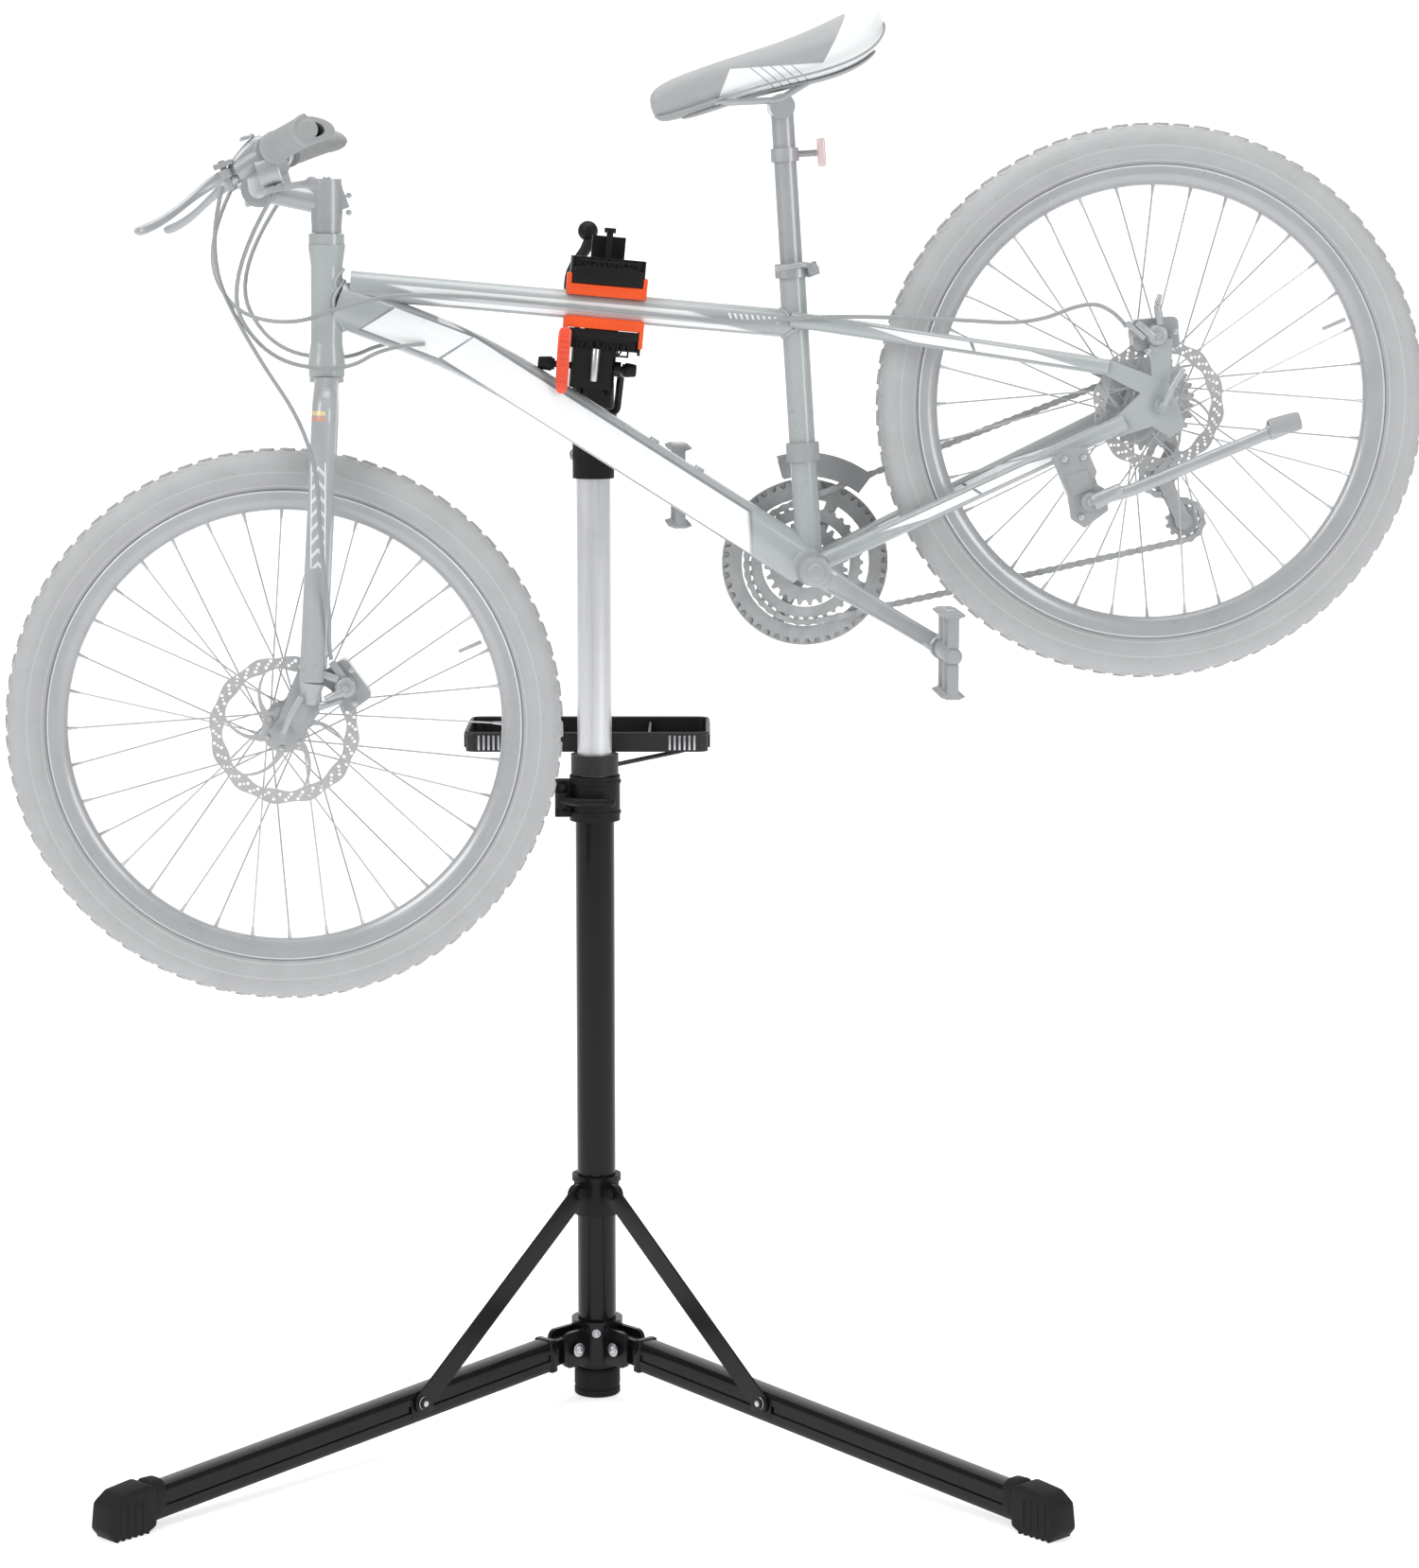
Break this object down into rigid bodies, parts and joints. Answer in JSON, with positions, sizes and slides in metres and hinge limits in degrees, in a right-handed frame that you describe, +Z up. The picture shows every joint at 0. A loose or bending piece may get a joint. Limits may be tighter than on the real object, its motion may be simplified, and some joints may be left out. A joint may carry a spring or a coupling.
{
  "type": "bicycle on stand",
  "caption": "Mountain bicycle held by its top tube in a folding repair stand with two legs, sliding mast, tilting clamp head and tool tray.",
  "frame": {"origin": "centre of the column foot's bottom face, on the floor", "axes": "+Z up; the stand's two legs splay toward -Y on either side; the bicycle hangs in front at -Y with its front wheel at -X and its left side facing -Y"},
  "size_m": [1.7099, 0.9094, 1.8031],
  "materials": {
    "rubber": "moulded rubber",
    "black_paint": "gloss black powder coat",
    "dark_paint": "satin black",
    "black_plastic": "fine-grained nylon",
    "black_metal": "satin black coat",
    "tray_plastic": "grey moulded plastic",
    "mast_alloy": "satin anodised",
    "orange_pad": "soft orange rubber",
    "frame_paint": "pale grey paint",
    "fork_paint": "pale grey paint",
    "bike_alloy": "brushed",
    "hub_steel": "bright",
    "chain_steel": "zinc plated",
    "cable": "sheathed",
    "grip_rubber": "ribbed",
    "bike_plastic": "moulded",
    "tyre": "knobbed rubber",
    "saddle_skin": "stitched vinyl over foam"
  },
  "bodies": {
    "stand_base": {"foot_cap": "rubber", "column_tube": "black_paint", "leg_hub": "black_plastic", "column_clamp": "black_plastic"},
    "leg_l": {"leg_left": "black_paint", "leg_foot_left": "rubber"},
    "leg_r": {"leg_right": "black_paint", "leg_foot_right": "rubber"},
    "sleeve_body": {"sleeve": "black_plastic"},
    "strut_l": {"strut_left": "dark_paint"},
    "strut_r": {"strut_right": "dark_paint"},
    "column_lever_body": {"column_lever": "black_metal"},
    "tray_body": {"tool_tray": "tray_plastic"},
    "mast": {"mast_tube": "mast_alloy", "mast_head": "black_metal"},
    "head": {"head_knuckle": "black_metal"},
    "head_lever_body": {"head_lever": "black_metal"},
    "bike_frame": {"arm_tube": "mast_alloy", "clamp_body": "black_metal", "pad_lower": "orange_pad", "clamp_strap": "orange_pad", "frame_front": "frame_paint", "frame_rear": "frame_paint", "rear_caliper": "bike_alloy", "chain": "chain_steel", "derailleurs": "bike_alloy", "derailleur_cage": "chain_steel", "seat_clamp": "bike_alloy", "cables_frame": "cable"},
    "jaw": {"upper_jaw": "black_plastic", "pad_upper": "orange_pad"},
    "clamp_lever_body": {"clamp_lever": "black_metal"},
    "steering": {"fork": "fork_paint", "stem": "bike_alloy", "handlebar": "bike_alloy", "grips": "grip_rubber", "lever_mounts": "bike_plastic", "front_caliper": "bike_alloy", "cable_fork": "cable"},
    "brake_lever_l": {"brake_lever_left": "bike_alloy"},
    "brake_lever_r": {"brake_lever_right": "bike_alloy"},
    "shift_lever_l": {"shift_lever_left": "bike_plastic"},
    "shift_lever_r": {"shift_lever_right": "bike_plastic"},
    "front_wheel": {"front_tyre": "tyre", "front_rim": "bike_alloy", "front_hub": "hub_steel"},
    "rear_wheel": {"rear_tyre": "tyre", "rear_rim": "bike_alloy", "rear_hub": "hub_steel"},
    "freewheel": {"cassette": "chain_steel"},
    "crankset": {"crank_arms": "bike_alloy", "chainrings": "bike_alloy"},
    "pedal_l": {"pedal_left": "bike_plastic"},
    "pedal_r": {"pedal_right": "bike_plastic"},
    "pulley_g": {"pulley_guide": "bike_plastic"},
    "pulley_t": {"pulley_tension": "bike_plastic"},
    "seat": {"seat_post": "bike_alloy", "saddle": "saddle_skin"},
    "seat_lever_body": {"seat_lever": "bike_alloy"},
    "stand_kick": {"kickstand": "bike_alloy"}
  },
  "joints": [
    {"name": "leg_left_fold", "type": "hinge", "parent": "stand_base", "child": "leg_l", "pos_m": [-0.03821, -0.03956, 0.074], "axis": [-0.7193, 0.6947, 0], "range_deg": [0, 30]},
    {"name": "leg_right_fold", "type": "hinge", "parent": "stand_base", "child": "leg_r", "pos_m": [0.03821, -0.03956, 0.074], "axis": [-0.7193, -0.6947, 0], "range_deg": [0, 30]},
    {"name": "sleeve_slide", "type": "slide", "parent": "stand_base", "child": "sleeve_body", "axis": [0, 0, 1], "range_m": [-0.001, 0.1656]},
    {"name": "strut_left_swing", "type": "hinge", "parent": "sleeve_body", "child": "strut_l", "pos_m": [-0.02178, -0.04847, 0.284], "axis": [-0.7193, 0.6947, 0], "range_deg": [-5.54, 0.2]},
    {"name": "strut_right_swing", "type": "hinge", "parent": "sleeve_body", "child": "strut_r", "pos_m": [0.02178, -0.04847, 0.284], "axis": [-0.7193, -0.6947, 0], "range_deg": [-5.54, 0.2]},
    {"name": "column_lever_open", "type": "hinge", "parent": "stand_base", "child": "column_lever_body", "pos_m": [-0.042, -0.021, 0.804], "axis": [0, 0, 1], "range_deg": [-110, 0]},
    {"name": "tray_swivel", "type": "hinge", "parent": "stand_base", "child": "tray_body", "pos_m": [0, 0, 0.85], "axis": [0, 0, 1], "range_deg": [-25, 25]},
    {"name": "mast_slide", "type": "slide", "parent": "stand_base", "child": "mast", "axis": [0, 0, 1], "range_m": [-0.3, 0.2]},
    {"name": "head_tilt", "type": "hinge", "parent": "mast", "child": "head", "pos_m": [0, 0, 1.449], "axis": [0.9976, 0.0698, 0], "range_deg": [-30, 5]},
    {"name": "head_lever_turn", "type": "hinge", "parent": "mast", "child": "head_lever_body", "pos_m": [0, 0, 1.449], "axis": [0.9976, 0.0698, 0], "range_deg": [0, 55]},
    {"name": "arm_roll", "type": "hinge", "parent": "head", "child": "bike_frame", "pos_m": [0.00698, -0.09976, 1.449], "axis": [0.0698, -0.9976, 0], "range_deg": [-40, 40]},
    {"name": "jaw_slide", "type": "slide", "parent": "bike_frame", "child": "jaw", "axis": [0.0889, 0.0062, 0.996], "range_m": [0, 0.026]},
    {"name": "clamp_lever_turn", "type": "hinge", "parent": "bike_frame", "child": "clamp_lever_body", "pos_m": [0.01871, -0.35957, 1.37729], "axis": [0.9936, 0.0695, -0.0892], "range_deg": [0, 30]},
    {"name": "steering", "type": "hinge", "parent": "bike_frame", "child": "steering", "pos_m": [-0.30501, -0.38221, 1.38117], "axis": [0.0139, 0.001, 0.9999], "range_deg": [-35, 35]},
    {"name": "front_wheel_spin", "type": "hinge", "parent": "steering", "child": "front_wheel", "pos_m": [-0.36023, -0.38607, 0.9495], "axis": [-0.0698, 0.9976, 0], "continuous": true},
    {"name": "rear_wheel_spin", "type": "hinge", "parent": "bike_frame", "child": "rear_wheel", "pos_m": [0.68288, -0.31313, 1.3337], "axis": [-0.0698, 0.9976, 0], "continuous": true},
    {"name": "crank_spin", "type": "hinge", "parent": "bike_frame", "child": "crankset", "pos_m": [0.2712, -0.34192, 1.13764], "axis": [-0.0698, 0.9976, 0], "continuous": true},
    {"name": "freewheel_spin", "type": "hinge", "parent": "bike_frame", "child": "freewheel", "pos_m": [0.68288, -0.31313, 1.3337], "axis": [-0.0698, 0.9976, 0], "continuous": true},
    {"name": "guide_pulley_spin", "type": "hinge", "parent": "bike_frame", "child": "pulley_g", "pos_m": [0.70666, -0.31146, 1.24284], "axis": [-0.0698, 0.9976, 0], "continuous": true},
    {"name": "tension_pulley_spin", "type": "hinge", "parent": "bike_frame", "child": "pulley_t", "pos_m": [0.73457, -0.30951, 1.18707], "axis": [-0.0698, 0.9976, 0], "continuous": true},
    {"name": "pedal_left_spin", "type": "hinge", "parent": "crankset", "child": "pedal_l", "pos_m": [0.42115, -0.33143, 1.04803], "axis": [-0.0698, 0.9976, 0], "continuous": true},
    {"name": "pedal_right_spin", "type": "hinge", "parent": "crankset", "child": "pedal_r", "pos_m": [0.12125, -0.3524, 1.22725], "axis": [-0.0698, 0.9976, 0], "continuous": true},
    {"name": "seat_post_slide", "type": "slide", "parent": "bike_frame", "child": "seat", "axis": [-0.0644, -0.0045, 0.9979], "range_m": [-0.1, 0.05]},
    {"name": "seat_lever_open", "type": "hinge", "parent": "bike_frame", "child": "seat_lever_body", "pos_m": [0.27212, -0.34185, 1.49401], "axis": [-0.0698, 0.9976, 0], "range_deg": [0, 120]},
    {"name": "brake_left_pull", "type": "hinge", "parent": "steering", "child": "brake_lever_l", "pos_m": [-0.40162, -0.54133, 1.60375], "axis": [-0.3445, -0.0241, 0.9385], "range_deg": [0, 20], "stiffness_Nm_per_rad": 1, "springref_deg": -8.59},
    {"name": "brake_right_pull", "type": "hinge", "parent": "steering", "child": "brake_lever_r", "pos_m": [-0.42282, -0.23808, 1.60375], "axis": [-0.3445, -0.0241, 0.9385], "range_deg": [-20, 0], "stiffness_Nm_per_rad": 1, "springref_deg": 8.59},
    {"name": "shift_left_push", "type": "hinge", "parent": "steering", "child": "shift_lever_l", "pos_m": [-0.34634, -0.53546, 1.58772], "axis": [-0.3445, -0.0241, 0.9385], "range_deg": [-20, 0], "stiffness_Nm_per_rad": 0.3, "springref_deg": 8.59},
    {"name": "shift_right_push", "type": "hinge", "parent": "steering", "child": "shift_lever_r", "pos_m": [-0.36726, -0.23619, 1.58772], "axis": [-0.3445, -0.0241, 0.9385], "range_deg": [0, 20], "stiffness_Nm_per_rad": 0.3, "springref_deg": -8.59},
    {"name": "kickstand_fold", "type": "hinge", "parent": "bike_frame", "child": "stand_kick", "pos_m": [0.60202, -0.41101, 1.22106], "axis": [-0.0698, 0.9976, 0], "range_deg": [0, 95]}
  ],
  "couplings": [
    {"joint": "leg_right_fold", "follows": "leg_left_fold", "ratio": 1},
    {"joint": "sleeve_slide", "follows": "leg_left_fold", "m_per_rad": 0.3143},
    {"joint": "strut_left_swing", "follows": "leg_left_fold", "ratio": -0.17814},
    {"joint": "strut_right_swing", "follows": "leg_left_fold", "ratio": -0.17814},
    {"joint": "freewheel_spin", "follows": "crank_spin", "ratio": 2},
    {"joint": "guide_pulley_spin", "follows": "crank_spin", "ratio": -3},
    {"joint": "tension_pulley_spin", "follows": "crank_spin", "ratio": 3}
  ]
}
